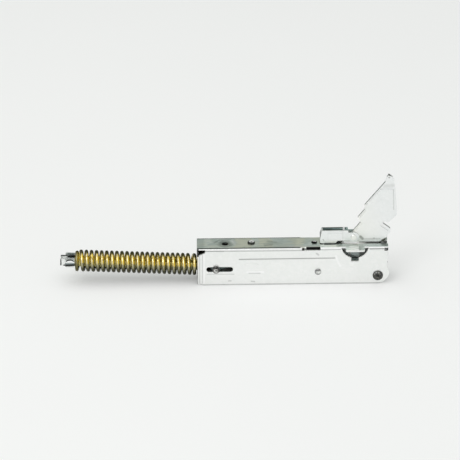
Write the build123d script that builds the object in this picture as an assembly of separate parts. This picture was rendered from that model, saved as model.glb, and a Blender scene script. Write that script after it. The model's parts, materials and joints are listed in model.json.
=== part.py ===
# Oven door hinge: a folded steel housing, a flat hook arm on a pivot pin, a lock lever on the arm,
# and a pull linkage that compresses the spring outside the housing's end wall.
# X runs along the housing towards the arm, Y across it, Z up from its open bottom edges.
# All places along X are measured from the pivot axis, and the whole part is centred on export.

import os
from math import cos, hypot, pi, radians, sin

from build123d import *

# Housing shell
sheet = 1.5                 # steel sheet
housing_width = 22.0
housing_height = 33.4
fold_radius = 1.8           # outside radius of every fold
end_wall_x = -150.5         # outer face of the wall that the spring pushes on
front_end_x = 8.4           # outer face of the folded tongues at the arm end
side_end_x = 7.6            # plain edge of the side plates between tongue and lobe
lobe_end_x = 9.5            # the side plates reach further round the pivot pin
lobe_end_height = 9.6       # end of the arc that runs up from the bottom edge
lobe_top = 15.0
lobe_middle = (6.1, 2.9)    # a point on that arc
end_wall_drop = 5.5         # top of the folded end wall, below the web's top
end_wall_inset = 0.6        # the spring end of each side steps inwards
end_wall_zone = 4.0
tongue_drop = 3.2           # top of the folded tongues, below the web's top
tongue_height = 5.7
tongue_zone = 4.0
tongue_relief_length = 2.4
tongue_relief_drop = 1.2
low_corner = 5.5            # cut corner of the side plates at the spring end
low_rise = 1.1
relief_gap = 0.9            # pointed relief over the end wall, from its outer face
relief_length = 6.0
relief_drop = 1.1
relief_nose = 1.2
web_slot_x = -48.2          # the arm's slot in the web runs from here out of the arm end
web_slot_width = 8.0
fold_slit_length = 15.0     # narrow opening in each fold beside the arm's slot
fold_slit_depth = 2.0
window_x = -19.2            # round window in each side under the wing
window_radius = 11.4
window_centre_height = 34.7
window_notch_width = 6.2
window_notch_low = 20.5
wing_length = 15.7          # flat wings of the web beside the arm
wing_reach = 5.5
wing_corner = 1.5
crease_x = (-115.6, -35.7)  # stiffening crease along each side
crease_height = 23.9
crease_width = 0.9
crease_depth = 0.4
pad_x = -105.2              # raised pad on each side, over the link guide
pad_length = 12.5
pad_low = 11.5
pad_high = 19.4
pad_rise = 0.6
dish_x = -127.0             # dished screw hole in the web
dish_radius = 7.4
dish_depth = 0.7
screw_radius = 2.6
collar_x = -52.7            # screw hole with a drawn collar
collar_wall = 1.1
collar_depth = 2.2

# Pivot pin and its spacers
pivot_height = 7.3
pivot_radius = 3.0
pivot_head_radius = 4.3
pivot_head = 0.9
spacer_wall = 0.6

# Distance rivet between the sides
distance_x = -49.9
distance_height = 11.4
distance_radius = 1.8
distance_head_radius = 2.75
distance_head = 0.8
sleeve_radius = 2.5

# Crank pin on the arm, and the linkage it pulls
crank_radius = 7.8
crank_angle = 45.0          # at rest the crank leans this far back from upright
crank_pin_radius = 1.8
crank_head_radius = 2.8
crank_head = 0.8
crank_washer_wall = 1.2
arm_travel = 90.0
link_sheet = 2.0
link_inside = 4.8           # from the middle plane to a link's inner face
link_low = 14.2
link_height = 6.0
link_hook_low = 4.5         # hook end, above the pivot axis
link_finger = 2.4
link_eye_radius = 4.6
crosshead_x = -134.7
crosshead_height = 14.5
crosshead_radius = 2.1
crosshead_head_radius = 3.1
crosshead_head = 2.2
crosshead_tip = 1.0         # the pin's own end stands out of its head
slot_left = -142.8          # slot in each side for the crosshead pin
slot_right = -120.6
roller_wall = 1.2

# Pull rod: a folded channel with two prongs that hold the spring
rod_tilt = 2.85             # it hangs this much up at its free end
rod_drop = 1.0              # its axis passes this much under the crosshead pin
rod_width = 8.2
rod_sheet = 1.4
rod_below = 3.4             # channel floor under its axis
rod_above = 2.6
rod_reach = 129.8           # from the crosshead pin to the ends of the prongs
rod_nose = 5.2              # beyond the crosshead pin
eye_above = 4.4
eye_length = 14.0
prong_length = 12.0
ear_reach = 4.8
ear_length = 7.8
ear_height = 6.6
ear_lift = 0.1
ear_round = 2.2

# Spring
wire = 3.1
spring_outside = 18.4
spring_pitch = 4.3
closed_gap = 0.55
end_rise = 0.3              # the first half turn at each end lies nearly square to the axis
spring_seat_gap = 0.4

# Link guide under the web
guide_length = 12.0
guide_sheet = 1.4
guide_low = 9.0
guide_rivet_radius = 1.9
guide_rivet_head_radius = 3.05
guide_rivet_rise = 1.4

# Arm
blade_sheet = 2.5
blade_back = 1.5            # rear face, behind the middle plane
doubler_sheet = 1.2
hub_radius = 6.2
crank_lug_radius = 4.2
arm_rivets = ((-3.1, 30.1), (2.0, 63.4))
arm_rivet_radius = 1.3
arm_rivet_head_radius = 2.1
arm_rivet_sink = 0.6        # depth of its flush heads

# Lock lever
lever_x = -20.0             # its rivet, from the pivot axis
lever_up = 31.7
lever_sheet = 1.0
lever_width = 7.2
lever_rivet_radius = 1.6
lever_head_radius = 2.5
lever_head = 0.9
lever_eye_radius = 4.4
lever_emboss = 0.3

# Clearances
fit_gap = 0.05              # pin in its hole
side_gap = 0.1              # flat faces that slide or rest beside each other
free_gap = 0.3              # pieces that pass each other

# Worked out from the sizes above
half_width = housing_width / 2
inner_half = half_width - sheet
inner_top = housing_height - sheet
end_wall_top = housing_height - end_wall_drop
tongue_top = housing_height - tongue_drop
tongue_low = tongue_top - tongue_height
fold_inside = fold_radius - sheet
spacer_radius = pivot_radius + fit_gap + spacer_wall
crank_x = -crank_radius * sin(radians(crank_angle))
crank_z = pivot_height + crank_radius * cos(radians(crank_angle))
link_outside = link_inside + link_sheet
blade_front = blade_back - blade_sheet
arm_front = blade_front - doubler_sheet
lever_z = pivot_height + lever_up
rod_wall_inner = rod_width / 2 - rod_sheet
spring_radius = (spring_outside - wire) / 2
ear_x = rod_reach - prong_length
rod_low_corner = (rod_below + rod_drop) * sin(radians(rod_tilt))
rod_left_x = crosshead_x - rod_reach * cos(radians(rod_tilt)) - rod_low_corner

# Arm outline above the web, in X and height over the pivot axis
arm_tip = ((5.6, 80.8), (6.7, 85.2), (8.4, 87.4), (11.4, 85.2), (12.9, 81.8))
arm_right = ((13.7, 78.0), (15.8, 54.8), (15.4, 50.2), (10.6, 46.0), (9.6, 44.2))
arm_hook = ((4.1, 44.2), (4.1, 43.2), (10.4, 38.3), (10.6, 35.5), (7.6, 31.1), (6.5, 29.1))
arm_root = ((2.6, 25.4), (5.2, 15.4), (6.0, 2.4), (-9.0, 2.4), (-15.0, 11.4), (-29.5, 18.9))
arm_left = ((-31.5, 23.6), (-21.0, 36.1), (-14.2, 44.4), (-16.7, 48.8), (-11.2, 55.8), (-11.2, 60.0))

# Second ply of the arm, set back from the blade's edges
doubler_right = ((5.2, 27.0), (6.9, 30.4), (8.6, 34.4), (8.6, 36.4), (2.0, 41.2), (2.0, 45.7))
doubler_top = ((9.0, 48.4), (12.9, 51.4), (13.4, 55.2), (12.0, 74.4), (1.4, 74.4))
doubler_left = ((-10.2, 60.0), (-10.2, 55.5), (-15.4, 48.7), (-12.9, 44.3), (-20.0, 35.8), (-29.0, 27.0))

# Lock lever's cheek, bridge and raised panel, in X and height over its rivet
cheek_top = ((-28.0, -4.6), (-28.0, 1.8), (-26.5, 6.4), (-4.9, 6.4), (-4.5, 4.3), (0, 4.3))
cheek_low = ((0, -4.3), (-1.2, -2.8), (-13.4, -2.8), (-15.4, -5.2), (-25.7, -5.2))
bridge_outline = ((-28.0, -4.6), (-28.0, 1.8), (-26.5, 6.4), (-25.5, 6.4), (-27.0, 1.6), (-27.0, -4.9))
panel_centre = (-15.8, 1.6)
panel_size = (12.6, 6.8)
panel_corner = 0.8

arm_right_edge = 15.8
centre_x = -(rod_left_x + arm_right_edge) / 2


def side_plate(outline, y_low, y_high):
    """Thicken an outline drawn in X and Z from y_low to y_high."""
    return Pos(0, y_high, 0) * extrude(Plane.XZ * outline, amount=y_high - y_low)


def polygon(points, lift=0.0):
    """A closed outline through the points, raised by lift."""
    return make_face(Polyline(*[(x, z + lift) for x, z in points], close=True))


def pin_y(x, z, radius, y_low, y_high):
    """A round pin along Y."""
    return side_plate(Pos(x, z) * Circle(radius), y_low, y_high)


def tube_y(x, z, radius, bore, y_low, y_high):
    """A round tube along Y."""
    return side_plate(Pos(x, z) * (Circle(radius) - Circle(bore)), y_low, y_high)


def block(x_low, x_high, y_low, y_high, z_low, z_high):
    """A box given by its limits."""
    centre = Pos((x_low + x_high) / 2, (y_low + y_high) / 2, (z_low + z_high) / 2)
    return centre * Box(x_high - x_low, y_high - y_low, z_high - z_low)


def both_sides(shape):
    """The shape and its mirror image across the middle plane."""
    return shape + mirror(shape, about=Plane.XZ)


def rivet_y(x, z, radius, head_radius, head, y_low, y_high):
    """A rivet along Y whose heads lie just outside y_low and y_high."""
    shank = pin_y(x, z, radius, y_low - head, y_high + head)
    front = pin_y(x, z, head_radius, y_low - head, y_low)
    back = pin_y(x, z, head_radius, y_high, y_high + head)
    front = chamfer(front.edges().group_by(Axis.Y)[0], head * 0.4)
    back = chamfer(back.edges().group_by(Axis.Y)[-1], head * 0.4)
    return shank + front + back


def folded_section():
    """The housing's cross section: web on top, open at the bottom."""
    outer = Pos(0, housing_height / 2) * Rectangle(housing_width, housing_height)
    outer = fillet(outer.vertices().group_by(Axis.Y)[-1], fold_radius)
    inner = Pos(0, inner_top / 2) * Rectangle(2 * inner_half, inner_top)
    inner = fillet(inner.vertices().group_by(Axis.Y)[-1], fold_inside)
    return outer - inner


def end_fold(x_outer, inward, half, low, high, zone, gap):
    """Side ends folded inwards, seen from above, with a gap in the middle."""
    x_far = x_outer + inward * 3 * zone
    length = abs(x_far - x_outer)
    middle = (x_outer + x_far) / 2
    outer = Pos(middle, 0) * RectangleRounded(length, 2 * half, fold_radius)
    inner = Pos(middle, 0) * RectangleRounded(length - 2 * sheet, 2 * (half - sheet), fold_inside)
    keep = Pos(x_outer + inward * zone / 2, 0) * Rectangle(zone, 2 * half)
    opening = Pos(middle, 0) * Rectangle(length + sheet, 2 * gap)
    return Pos(0, 0, low) * extrude(((outer - inner) & keep) - opening, amount=high - low)


def side_silhouette():
    """The side plates' outline with the lobe round the pivot pin."""
    low_edge = Polyline(
        (end_wall_x, housing_height),
        (end_wall_x, low_rise),
        (end_wall_x + low_corner, 0),
        (0, 0))
    lobe = ThreePointArc((0, 0), lobe_middle, (lobe_end_x, lobe_end_height))
    arm_end = Polyline(
        (lobe_end_x, lobe_end_height),
        (side_end_x, lobe_top),
        (side_end_x, tongue_top),
        (front_end_x, tongue_top),
        (front_end_x, housing_height),
        (end_wall_x, housing_height))
    return make_face([low_edge, lobe, arm_end])


def end_relief():
    """Pointed relief between the end wall's fold and the web's fold."""
    left = end_wall_x + relief_gap
    right = left + relief_length
    top = housing_height - relief_drop
    return polygon((
        (left, end_wall_top - relief_gap),
        (right - relief_nose, end_wall_top + relief_nose),
        (right, end_wall_top + 1.6 * relief_nose),
        (right, top),
        (left, top),
    ))


def web_cuts():
    """The arm's slot and the three holes of the web."""
    slot = block(web_slot_x, lobe_end_x + sheet, -web_slot_width / 2, web_slot_width / 2,
                 inner_top - sheet, housing_height + sheet)
    corners = slot.edges().filter_by(Axis.Z).group_by(Axis.X)[0]
    cuts = fillet(corners, 1.2)
    for x in (dish_x, collar_x):
        cuts += Pos(x, 0, inner_top) * Cylinder(screw_radius, 4 * sheet)
    cuts += Pos(pad_x, 0, inner_top) * Cylinder(guide_rivet_radius + fit_gap, 4 * sheet)
    dish = Cone(screw_radius + 1.8, dish_radius, dish_depth)
    cuts += Pos(dish_x, 0, housing_height - dish_depth / 2) * dish
    return cuts


def side_cuts():
    """Openings that go through both sides."""
    reach = half_width + pad_rise
    slot_middle = (slot_left + slot_right) / 2
    slot_high = 2 * (crosshead_radius + side_gap) + side_gap
    slot = Pos(slot_middle, crosshead_height) * SlotOverall(slot_right - slot_left, slot_high)
    cuts = side_plate(slot, -reach, reach)
    cuts += pin_y(0, pivot_height, pivot_radius + fit_gap, -reach, reach)
    cuts += pin_y(distance_x, distance_height, distance_radius + fit_gap, -reach, reach)
    window = pin_y(window_x, window_centre_height, window_radius, inner_half - fold_inside, reach)
    notch = block(window_x - window_notch_width / 2, window_x + window_notch_width / 2,
                  inner_half - fold_inside, reach, window_notch_low, housing_height)
    slit = block(web_slot_x - fold_slit_length, web_slot_x, half_width - fold_slit_depth, reach,
                 housing_height - fold_slit_depth, housing_height + sheet)
    relief = side_plate(end_relief(), inner_half - sheet, reach)
    tongue_relief = block(front_end_x - tongue_relief_length, front_end_x + sheet,
                          inner_half - fold_inside, reach,
                          tongue_top, housing_height - tongue_relief_drop)
    return cuts + both_sides(window + notch + slit + relief + tongue_relief)


def side_marks():
    """Shallow crease, groove and dimples pressed into both sides."""
    reach = half_width + sheet
    floor = half_width - crease_depth
    crease = block(crease_x[0], crease_x[1], floor, reach,
                   crease_height - crease_width / 2, crease_height + crease_width / 2)
    groove = block(window_x + window_radius + 0.6, front_end_x - 4.0, floor, reach,
                   housing_height - 1.9, housing_height - 1.9 + crease_width)
    marks = crease + groove
    for x, z in ((-124.0, 3.9), (-103.5, 2.9), (collar_x + 2.9, 28.4)):
        marks += pin_y(x, z, 0.7, floor, reach)
    return both_sides(marks)


def wing():
    """Flat wing of the web over the window, on the rear side."""
    outline = Pos(window_x, half_width + wing_reach / 2 - fold_radius / 2) * RectangleRounded(
        wing_length, wing_reach + fold_radius, wing_corner)
    return Pos(0, 0, inner_top) * extrude(outline, amount=sheet)


def housing_shell():
    """One folded sheet: web, two sides, end wall, tongues, wings and pads."""
    length = lobe_end_x - end_wall_x
    frame = Plane(origin=(end_wall_x, 0, 0), x_dir=(0, 1, 0), z_dir=(1, 0, 0))
    shell = extrude(frame * folded_section(), amount=length)
    shell &= side_plate(side_silhouette(), -half_width, half_width)
    shell -= block(end_wall_x - sheet, end_wall_x + end_wall_zone, -half_width, half_width,
                   -sheet, end_wall_top)
    rod_gap = rod_width / 2 + 0.4
    shell += end_fold(end_wall_x, 1, half_width - end_wall_inset, 0.4, end_wall_top,
                      end_wall_zone + sheet, rod_gap)
    shell -= block(front_end_x - tongue_zone, front_end_x, -half_width, half_width,
                   tongue_low, tongue_top)
    shell += end_fold(front_end_x, -1, half_width, tongue_low, tongue_top,
                      tongue_zone + sheet, web_slot_width / 2)
    pad = Pos(pad_x, (pad_low + pad_high) / 2) * RectangleRounded(
        pad_length, pad_high - pad_low, 2.5)
    shell += both_sides(side_plate(pad, half_width - sheet / 2, half_width + pad_rise))
    shell -= both_sides(side_plate(offset(pad, -0.8), inner_half - sheet, inner_half + pad_rise))
    collar = Pos(collar_x, 0, inner_top - collar_depth / 2) * Cylinder(
        screw_radius + collar_wall, collar_depth)
    shell += collar
    shell -= side_cuts()
    shell -= web_cuts()
    shell -= side_marks()
    shell += both_sides(wing())
    return shell


def pivot_pin():
    """Main pin, riveted over both sides."""
    face = half_width + side_gap
    return rivet_y(0, pivot_height, pivot_radius, pivot_head_radius, pivot_head, -face, face)


def pivot_spacer():
    """Tube between the arm and the rear side."""
    return tube_y(0, pivot_height, spacer_radius, pivot_radius + fit_gap,
                  blade_back + side_gap, inner_half - fit_gap)


def pivot_spacer_front():
    """Tube between the arm and the front side, where the arm has no doubler."""
    return tube_y(0, pivot_height, spacer_radius, pivot_radius + fit_gap,
                  -(inner_half - fit_gap), blade_front - side_gap)


def distance_rivet():
    """Rivet that ties the sides together."""
    face = half_width + side_gap
    return rivet_y(distance_x, distance_height, distance_radius, distance_head_radius,
                   distance_head, -face, face)


def distance_sleeve():
    """Tube on the distance rivet that holds the sides apart."""
    half = inner_half - fit_gap
    return tube_y(distance_x, distance_height, sleeve_radius, distance_radius + fit_gap,
                  -half, half)


def link_guide():
    """Folded bracket under the web that keeps the links upright."""
    leg_inner = link_outside + 2 * side_gap
    top = inner_top - fit_gap
    outer = Rectangle(2 * (leg_inner + guide_sheet), top - guide_low)
    outer = fillet(outer.vertices().group_by(Axis.Y)[-1], guide_sheet)
    inner = Pos(0, -guide_sheet) * Rectangle(2 * leg_inner, top - guide_low)
    frame = Plane(origin=(pad_x - guide_length / 2, 0, (top + guide_low) / 2),
                  x_dir=(0, 1, 0), z_dir=(1, 0, 0))
    bracket = extrude(frame * (outer - inner), amount=guide_length)
    return bracket - Pos(pad_x, 0, top) * Cylinder(guide_rivet_radius + fit_gap, 4 * guide_sheet)


def guide_rivet():
    """Domed rivet that holds the link guide under the web."""
    low = inner_top - fit_gap - guide_sheet
    rise = guide_rivet_rise
    shank = Pos(pad_x, 0, (low - rise + housing_height) / 2) * Cylinder(
        guide_rivet_radius, housing_height - low + rise)
    dome = Pos(pad_x, 0, housing_height + rise / 2) * Cylinder(guide_rivet_head_radius, rise)
    dome = fillet(dome.edges().group_by(Axis.Z)[-1], 0.6 * rise)
    tail = Pos(pad_x, 0, low - side_gap / 2 - rise / 2) * Cylinder(guide_rivet_head_radius, rise)
    return shank + dome + tail


def arm_blade():
    """Flat arm with its hook notch, tooth, hub and crank lug."""
    outline = polygon(arm_tip + arm_right + arm_hook + arm_root + arm_left, pivot_height)
    outline += Pos(0, pivot_height) * Circle(hub_radius)
    outline += Pos(crank_x, crank_z) * Circle(crank_lug_radius)
    outline -= Pos(0, pivot_height) * Circle(pivot_radius + fit_gap)
    outline -= Pos(crank_x, crank_z) * Circle(crank_pin_radius + fit_gap)
    outline -= Pos(lever_x, lever_z) * Circle(lever_rivet_radius + fit_gap)
    return side_plate(outline, blade_front, blade_back) - arm_rivet_shapes(fit_gap)


def arm_doubler():
    """Second ply in front of the blade, set back from its edges."""
    outline = polygon(doubler_right + doubler_top + doubler_left, pivot_height)
    outline -= Pos(lever_x, lever_z) * Circle(lever_rivet_radius + fit_gap)
    return side_plate(outline, arm_front, blade_front) - arm_rivet_shapes(fit_gap)


def arm_rivet_shapes(gap=0.0):
    """Rivets with flush heads through both plies, or their holes when a gap is given."""
    shapes = []
    radius = arm_rivet_radius + gap
    head_radius = arm_rivet_head_radius + gap
    for x, up in arm_rivets:
        place = (x, pivot_height + up)
        shank = pin_y(*place, radius, arm_front, blade_back)
        front = Pos(x, arm_front + arm_rivet_sink / 2, place[1]) * Rot(-90, 0, 0) * Cone(
            head_radius, radius, arm_rivet_sink)
        back = Pos(x, blade_back - arm_rivet_sink / 2, place[1]) * Rot(90, 0, 0) * Cone(
            head_radius, radius, arm_rivet_sink)
        shapes.append(shank + front + back)
    return Compound(shapes)


def crank_pin():
    """Pin on the arm that pulls both links."""
    face = link_outside + 2 * side_gap
    return rivet_y(crank_x, crank_z, crank_pin_radius, crank_head_radius, crank_head, -face, face)


def crank_washer(y_low, y_high):
    """Tube on the crank pin between the blade and a link."""
    bore = crank_pin_radius + fit_gap
    return tube_y(crank_x, crank_z, bore + crank_washer_wall, bore, y_low, y_high)


def link_plate():
    """Rear link: an eye on the crosshead pin, a long bar and an open hook on the crank pin."""
    top = link_low + link_height
    throat = crank_pin_radius + free_gap + 0.25
    throat_top = pivot_height + crank_radius + crank_pin_radius + free_gap
    hook_low = pivot_height + link_hook_low
    hook_end = crank_x + throat + link_finger
    bar = polygon((
        (crosshead_x, crosshead_height - link_eye_radius), (crosshead_x + 8, link_low),
        (crank_x - throat - 14, link_low), (crank_x - throat - 10, hook_low),
        (hook_end, hook_low), (hook_end, top - 1.5), (hook_end - 1.5, top),
        (crosshead_x, top)))
    bar += Pos(crosshead_x, crosshead_height) * Circle(link_eye_radius)
    bar -= Pos(crosshead_x, crosshead_height) * Circle(crosshead_radius + fit_gap)
    bar -= Pos(crank_x, (hook_low + throat_top) / 2 - 1) * Rectangle(
        2 * throat, throat_top - hook_low + 2)
    return side_plate(bar, link_inside, link_outside)


def crosshead_pin():
    """Pin through the rod, the links and the slots of both sides."""
    face = half_width + side_gap
    headed = rivet_y(crosshead_x, crosshead_height, crosshead_radius, crosshead_head_radius,
                     crosshead_head, -face, face)
    end = face + crosshead_head + crosshead_tip
    return headed + pin_y(crosshead_x, crosshead_height, crosshead_radius, -end, end)


def crosshead_roller():
    """Spacer on the crosshead pin between the rear link and the rear side."""
    bore = crosshead_radius + fit_gap
    return tube_y(crosshead_x, crosshead_height, bore + roller_wall, bore,
                  link_outside + side_gap, inner_half - side_gap)


def rod_place(shape):
    """Put a shape drawn along the rod's own axis at the crosshead pin, tilted about it."""
    return Pos(crosshead_x, 0, crosshead_height) * Rot(0, rod_tilt, 0) * Pos(0, 0, -rod_drop) * shape


def pull_rod():
    """Channel through the spring, with two prongs and an ear on each prong."""
    half = rod_width / 2
    wall = polygon((
        (-rod_reach, -rod_below), (rod_nose, -rod_below), (rod_nose, eye_above),
        (-eye_length + 3, eye_above), (-eye_length, rod_above), (-rod_reach, rod_above)))
    wall -= Pos(0, rod_drop) * Circle(crosshead_radius + fit_gap)
    walls = both_sides(side_plate(wall, rod_wall_inner, half))
    floor = block(-ear_x + 0.5, rod_nose, -half, half, -rod_below, -rod_below + rod_sheet)
    return rod_place(walls + floor + ears())


def ears():
    """Bumps pressed out of both prongs, round all over but for the face that holds the spring."""
    face = -ear_x - spring_seat_gap / 2
    reach = rod_width / 2 + ear_reach
    frame = Plane(origin=(face - ear_length, 0, ear_lift), x_dir=(0, 1, 0), z_dir=(1, 0, 0))
    bumps = extrude(frame * RectangleRounded(2 * reach, ear_height, ear_round), amount=ear_length)
    plan = Pos(face, 0) * RectangleRounded(2 * ear_length, 2 * reach, 0.8 * ear_reach)
    bumps &= Pos(0, 0, ear_lift - ear_height) * extrude(plan, amount=2 * ear_height)
    middle = rod_width / 2 - 0.2
    return bumps - block(face - 2 * ear_length, 0, -middle, middle, -ear_height, ear_height)


def spring_stations():
    """Distance along the rod of each half turn, from the ears to the end wall."""
    closed = wire + closed_gap
    active = spring_pitch / 2
    start = -ear_x + wire / 2 + spring_seat_gap / 2
    wall_at = -(crosshead_x - end_wall_x) - spring_seat_gap - wire / 2
    room = wall_at - start - 2 * closed
    count = 2 * round(room / spring_pitch - 0.5) + 1
    rise = closed - end_rise
    steps = [end_rise, rise] + [room / count] * count + [rise, end_rise]
    stations = [start]
    for step in steps:
        stations.append(stations[-1] + step)
    print("spring: turns", len(steps) / 2, "pitch", round(2 * room / count, 3), "of", 2 * active)
    return stations


def spring_line(stations):
    """Half turn arcs, each square to the axis where it meets the next."""
    arcs = []
    side = 1
    for low, high in zip(stations, stations[1:]):
        bulge = hypot(spring_radius, (high - low) / 2)
        arcs.append(ThreePointArc(
            (low, 0, side * spring_radius),
            ((low + high) / 2, -side * bulge, 0),
            (high, 0, -side * spring_radius)))
        side = -side
    return arcs


def print_spring_gap(arcs):
    """Print the least gap between the wire's own turns, measured on points."""
    steps = 24
    points = [arc.position_at(i / steps) for arc in arcs for i in range(steps)]
    near = round(1.2 * steps)
    far = 3 * steps
    least = min(
        (points[i] - points[j]).length
        for i in range(len(points))
        for j in range(i + near, min(i + far, len(points))))
    print("spring: least gap to itself", round(least - wire, 3), "mm")


def spring():
    """Compression spring between the rod's ears and the housing's end wall."""
    arcs = spring_line(spring_stations())
    print_spring_gap(arcs)
    start = Plane(origin=(arcs[0] @ 0), z_dir=(arcs[0] % 0))
    coil = sweep(start * Circle(wire / 2), path=Wire(arcs))
    print("spring: volume", round(coil.volume), "section times length",
          round(pi * (wire / 2) ** 2 * sum(arc.length for arc in arcs)))
    return rod_place(coil)


def lock_lever():
    """Stirrup on the arm: two cheeks joined by a bridge at the free end."""
    half = lever_width / 2
    cheek = polygon(cheek_top + cheek_low)
    cheek += Circle(lever_eye_radius)
    cheek -= Circle(lever_rivet_radius + fit_gap)
    walls = both_sides(side_plate(cheek, half - lever_sheet, half))
    panel = Pos(*panel_centre) * RectangleRounded(*panel_size, panel_corner)
    walls += both_sides(side_plate(panel, half - lever_sheet / 2, half + lever_emboss))
    bridge = side_plate(polygon(bridge_outline), -half, half)
    lever = walls + bridge
    return Pos(lever_x, 0, lever_z) * lever


def lever_rivet():
    """Rivet through the arm that the lock lever turns on."""
    face = lever_width / 2 + side_gap
    return rivet_y(lever_x, lever_z, lever_rivet_radius, lever_head_radius, lever_head,
                   -face, face)


def mirrored(shape):
    """The front twin of a rear piece."""
    return mirror(shape, about=Plane.XZ)


def save(name, shape):
    """Write one piece, centred along X."""
    export_step(Pos(centre_x, 0, 0) * shape, f"parts/{name}.step")


os.makedirs("parts", exist_ok=True)

pieces = {
    "housing_shell": housing_shell(),
    "pivot_pin": pivot_pin(),
    "pivot_spacer_rear": pivot_spacer(),
    "pivot_spacer_front": pivot_spacer_front(),
    "distance_rivet": distance_rivet(),
    "distance_sleeve": distance_sleeve(),
    "link_guide": link_guide(),
    "guide_rivet": guide_rivet(),
    "arm_blade": arm_blade(),
    "arm_doubler": arm_doubler(),
    "arm_rivets": arm_rivet_shapes(),
    "crank_pin": crank_pin(),
    "crank_washer_rear": crank_washer(blade_back, link_inside - side_gap),
    "crank_washer_front": crank_washer(-(link_inside - side_gap), blade_front),
    "lever_rivet": lever_rivet(),
    "lock_lever": lock_lever(),
    "link_rear": link_plate(),
    "link_front": mirrored(link_plate()),
    "crosshead_pin": crosshead_pin(),
    "crosshead_roller_rear": crosshead_roller(),
    "crosshead_roller_front": mirrored(crosshead_roller()),
    "pull_rod": pull_rod(),
    "spring": spring(),
}

for name, shape in pieces.items():
    save(name, shape)

print("centre shift", round(centre_x, 3))
print("pull per degree", round(2 * crank_radius * sin(radians(arm_travel / 2)) / arm_travel, 5), "mm")
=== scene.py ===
import json
from math import cos, pi, radians, sin, tan

import bpy
from mathutils import Matrix, Vector

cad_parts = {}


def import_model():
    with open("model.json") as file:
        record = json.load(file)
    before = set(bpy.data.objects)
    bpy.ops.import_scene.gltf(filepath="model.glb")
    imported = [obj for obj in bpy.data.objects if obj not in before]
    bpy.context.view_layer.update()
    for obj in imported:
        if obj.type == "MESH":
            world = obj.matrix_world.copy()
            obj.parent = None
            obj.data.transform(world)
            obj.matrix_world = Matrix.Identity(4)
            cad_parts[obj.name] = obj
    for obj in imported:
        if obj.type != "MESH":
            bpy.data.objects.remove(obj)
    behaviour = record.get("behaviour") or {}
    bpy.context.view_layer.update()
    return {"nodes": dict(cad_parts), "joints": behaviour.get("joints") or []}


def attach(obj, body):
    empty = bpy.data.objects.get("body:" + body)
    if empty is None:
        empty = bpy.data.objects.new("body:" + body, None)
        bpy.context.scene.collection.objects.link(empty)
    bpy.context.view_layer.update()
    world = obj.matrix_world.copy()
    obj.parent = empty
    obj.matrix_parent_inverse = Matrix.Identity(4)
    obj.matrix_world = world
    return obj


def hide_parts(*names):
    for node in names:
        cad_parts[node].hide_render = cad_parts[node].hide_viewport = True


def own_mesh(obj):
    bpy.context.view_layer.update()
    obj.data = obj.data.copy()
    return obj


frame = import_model()
nodes = frame["nodes"]
scene = bpy.context.scene

# The hinge's lengths are in millimetres, and its X is counted from the arm's pivot axis, until
# they reach Blender. Angles are in degrees. The camera's distance, the lamps, the floor and the
# depths of bumps are in metres.
MM = 0.001
# From the shared frame's origin to the pivot axis, along X.
SHIFT = next(j for j in frame["joints"] if j["name"] == "arm_hinge")["pos_m"][0] / MM


def at(x, y, z):
    """A place given from the pivot axis, in the shared frame, in metres."""
    return Vector(((x + SHIFT) * MM, y * MM, z * MM))


# ---- camera, fitted to the edges in the photo ----
AZ, EL, ROLL = -0.339, 25.809, -0.563
FOCAL_PX = 2500.0
IMAGE_PX = 460.0
SENSOR = 36.0
TARGET = at(-122.735, 0.0, 45.574)
DISTANCE = 2.076
CLIP_START, CLIP_END = 0.01, 50.0
SIN_EL, COS_EL = sin(radians(EL)), cos(radians(EL))


def camera():
    a, e, r = radians(AZ), radians(EL), radians(ROLL)
    forward = Vector((-sin(a) * cos(e), cos(a) * cos(e), -sin(e)))
    flat = Vector((cos(a), sin(a), 0.0))
    up = flat.cross(forward)
    right = cos(r) * flat + sin(r) * up
    up = -sin(r) * flat + cos(r) * up
    data = bpy.data.cameras.new("camera")
    data.sensor_width = SENSOR
    data.lens = SENSOR * FOCAL_PX / IMAGE_PX
    data.clip_start = CLIP_START
    data.clip_end = CLIP_END
    obj = bpy.data.objects.new("camera", data)
    scene.collection.objects.link(obj)
    turn = Matrix((right, up, -forward)).transposed().to_4x4()
    obj.matrix_world = Matrix.Translation(TARGET - forward * DISTANCE) @ turn
    scene.camera = obj


# ---- sizes of the spring and the pull rod, as in the CAD model ----
WIRE = 3.1
COIL_OUTSIDE = 18.4
ROD_TILT = 2.85             # the rod rises by this from the crosshead to its free end
ROD_DROP = 1.0              # its axis passes this much under the crosshead pin
CROSSHEAD = (-134.7, 14.5)  # X and Z of the crosshead pin
SPRING_START = -117.8       # the ears and the end wall, along the rod from that pin
SPRING_END = -15.8
END_GAP = 0.4
CLOSED_TURN = WIRE + 0.55   # rise of each end turn
END_RISE = 0.3              # of it, rise of the outermost half
TURN_RISE = 4.3             # about the rise of each open turn
ROD_SHOWN = -252.6          # the spring hides the rod from here on

# ---- node helpers ----
WHITE, MIDDLE_GREY, BLACK = (1.0, 1.0, 1.0), (0.5, 0.5, 0.5), (0.0, 0.0, 0.0)
NOISE_REACH = (0.3, 0.7)    # nearly all of a noise lies between these


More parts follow.
